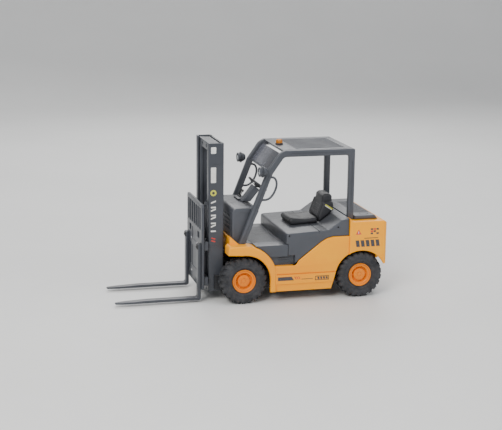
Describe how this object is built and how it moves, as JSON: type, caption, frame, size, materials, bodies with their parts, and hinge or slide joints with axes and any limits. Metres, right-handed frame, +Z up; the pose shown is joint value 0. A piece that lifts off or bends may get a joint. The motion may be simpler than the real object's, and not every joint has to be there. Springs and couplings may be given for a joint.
{
  "type": "toy forklift",
  "caption": "Toy counterbalance forklift with a lifting and tilting mast, load backrest, forks, overhead guard, seat, driven front axle and steered rear wheels.",
  "frame": {"origin": "on the floor under the centre of the bounding box", "axes": "+X forwards to the fork tips, +Y to the driver's left, +Z up"},
  "size_m": [0.322, 0.122, 0.187],
  "materials": {
    "body_yellow": "semi-gloss injection-moulded plastic, warm yellow",
    "rim_orange": "semi-gloss moulded plastic, orange-yellow",
    "upper_grey": "satin charcoal plastic with a fine moulded texture",
    "mast_grey": "satin dark grey plastic",
    "chassis_black": "matte black plastic",
    "seat_black": "matte black grained plastic",
    "tyre_rubber": "matte soft black rubber",
    "steel": "plain turned steel",
    "gear_nylon": "off-white nylon",
    "lens_clear": "clear polished plastic",
    "lens_amber": "translucent amber plastic",
    "lens_red": "translucent red plastic",
    "board_green": "green solder-masked board",
    "battery_wrap": "blue shrink wrap"
  },
  "bodies": {
    "truck": {"chassis_pan": "chassis_black", "side_shell_left": "body_yellow", "side_shell_right": "body_yellow", "counterweight": "body_yellow", "front_panel": "body_yellow", "front_cowl": "upper_grey", "cab_floor": "upper_grey", "engine_hood": "upper_grey", "rear_deck": "upper_grey", "rear_grille": "upper_grey", "steering_column": "upper_grey", "seat_cushion": "seat_black", "seat_backrest": "seat_black", "guard_side_left": "upper_grey", "guard_side_right": "upper_grey", "roof_panel": "upper_grey", "front_visor": "lens_clear", "headlamp_left": "upper_grey", "headlamp_right": "upper_grey", "headlamp_lens_left": "lens_clear", "headlamp_lens_right": "lens_clear", "beacon_lamp": "lens_amber", "tail_lamp_left": "lens_red", "tail_lamp_right": "lens_red", "battery_pack": "battery_wrap", "battery_cover": "chassis_black", "drive_motor": "steel", "gearbox_housing": "chassis_black", "circuit_board": "board_green", "speaker": "chassis_black", "steering_servo": "chassis_black", "steering_beam": "chassis_black"},
    "drive_axle": {"front_axle": "steel", "axle_gear": "gear_nylon", "front_left_rim": "rim_orange", "front_left_tyre": "tyre_rubber", "front_right_rim": "rim_orange", "front_right_tyre": "tyre_rubber"},
    "pinion": {"motor_pinion": "steel"},
    "knuckle_left_body": {"knuckle_left": "chassis_black"},
    "knuckle_right_body": {"knuckle_right": "chassis_black"},
    "rear_wheel_left": {"rear_left_rim": "rim_orange", "rear_left_tyre": "tyre_rubber"},
    "rear_wheel_right": {"rear_right_rim": "rim_orange", "rear_right_tyre": "tyre_rubber"},
    "steering_rod": {"tie_rod": "chassis_black"},
    "horn": {"servo_horn": "gear_nylon"},
    "wheel": {"steering_wheel": "seat_black"},
    "switch": {"power_switch": "gear_nylon"},
    "mast": {"outer_mast": "mast_grey", "lift_cylinder": "mast_grey", "lift_motor": "chassis_black"},
    "mast_inner": {"inner_mast": "mast_grey", "lift_rod": "steel"},
    "fork_carriage": {"carriage": "mast_grey", "load_backrest": "mast_grey", "fork_left": "mast_grey", "fork_right": "mast_grey"},
    "tilt_barrel": {"tilt_cylinder": "mast_grey"},
    "tilt_ram": {"tilt_rod": "steel"}
  },
  "joints": [
    {"name": "mast_tilt", "type": "hinge", "parent": "truck", "child": "mast", "pos_m": [0.037, 0, 0.024], "axis": [0, 1, 0], "range_deg": [-4, 5]},
    {"name": "inner_mast_lift", "type": "slide", "parent": "mast", "child": "mast_inner", "axis": [0, 0, 1], "range_m": [0, 0.06]},
    {"name": "carriage_lift", "type": "slide", "parent": "mast_inner", "child": "fork_carriage", "axis": [0, 0, 1], "range_m": [0, 0.06]},
    {"name": "tilt_cylinder_swing", "type": "hinge", "parent": "truck", "child": "tilt_barrel", "pos_m": [0.005, 0, 0.044], "axis": [0, 1, 0], "range_deg": [-1, 1]},
    {"name": "tilt_rod_slide", "type": "slide", "parent": "tilt_barrel", "child": "tilt_ram", "axis": [0.9689, 0, 0.2474], "range_m": [-0.0025, 0.0028]},
    {"name": "drive_axle_spin", "type": "hinge", "parent": "truck", "child": "drive_axle", "pos_m": [0.013, 0, 0.0275], "axis": [0, 1, 0], "continuous": true},
    {"name": "motor_pinion_spin", "type": "hinge", "parent": "truck", "child": "pinion", "pos_m": [0.0002, 0, 0.0275], "axis": [0, 1, 0], "continuous": true},
    {"name": "steer_left", "type": "hinge", "parent": "truck", "child": "knuckle_left_body", "pos_m": [-0.129, 0.036, 0.0275], "axis": [0, 0, 1], "range_deg": [-25, 25]},
    {"name": "steer_right", "type": "hinge", "parent": "truck", "child": "knuckle_right_body", "pos_m": [-0.129, -0.036, 0.0275], "axis": [0, 0, 1], "range_deg": [-25, 25]},
    {"name": "tie_rod_slide", "type": "slide", "parent": "truck", "child": "steering_rod", "axis": [0, 1, 0], "range_m": [-0.0052, 0.0052]},
    {"name": "servo_horn_turn", "type": "hinge", "parent": "truck", "child": "horn", "pos_m": [-0.105, 0, 0.027], "axis": [0, 0, 1], "range_deg": [-25, 25]},
    {"name": "rear_left_spin", "type": "hinge", "parent": "knuckle_left_body", "child": "rear_wheel_left", "pos_m": [-0.129, 0.049, 0.0275], "axis": [0, 1, 0], "continuous": true},
    {"name": "rear_right_spin", "type": "hinge", "parent": "knuckle_right_body", "child": "rear_wheel_right", "pos_m": [-0.129, -0.049, 0.0275], "axis": [0, 1, 0], "continuous": true},
    {"name": "steering_wheel_turn", "type": "hinge", "parent": "truck", "child": "wheel", "pos_m": [-0.017, 0, 0.131], "axis": [-0.6157, 0, 0.788], "continuous": true},
    {"name": "power_switch_slide", "type": "slide", "parent": "truck", "child": "switch", "axis": [1, 0, 0], "range_m": [0, 0.003]}
  ],
  "couplings": [
    {"joint": "carriage_lift", "follows": "inner_mast_lift", "ratio": 1},
    {"joint": "tilt_cylinder_swing", "follows": "mast_tilt", "ratio": -0.07},
    {"joint": "tilt_rod_slide", "follows": "mast_tilt", "m_per_rad": 0.0273},
    {"joint": "motor_pinion_spin", "follows": "drive_axle_spin", "ratio": -3},
    {"joint": "steer_right", "follows": "steer_left", "ratio": 1},
    {"joint": "tie_rod_slide", "follows": "steer_left", "m_per_rad": 0.0116},
    {"joint": "servo_horn_turn", "follows": "steer_left", "ratio": -1}
  ]
}
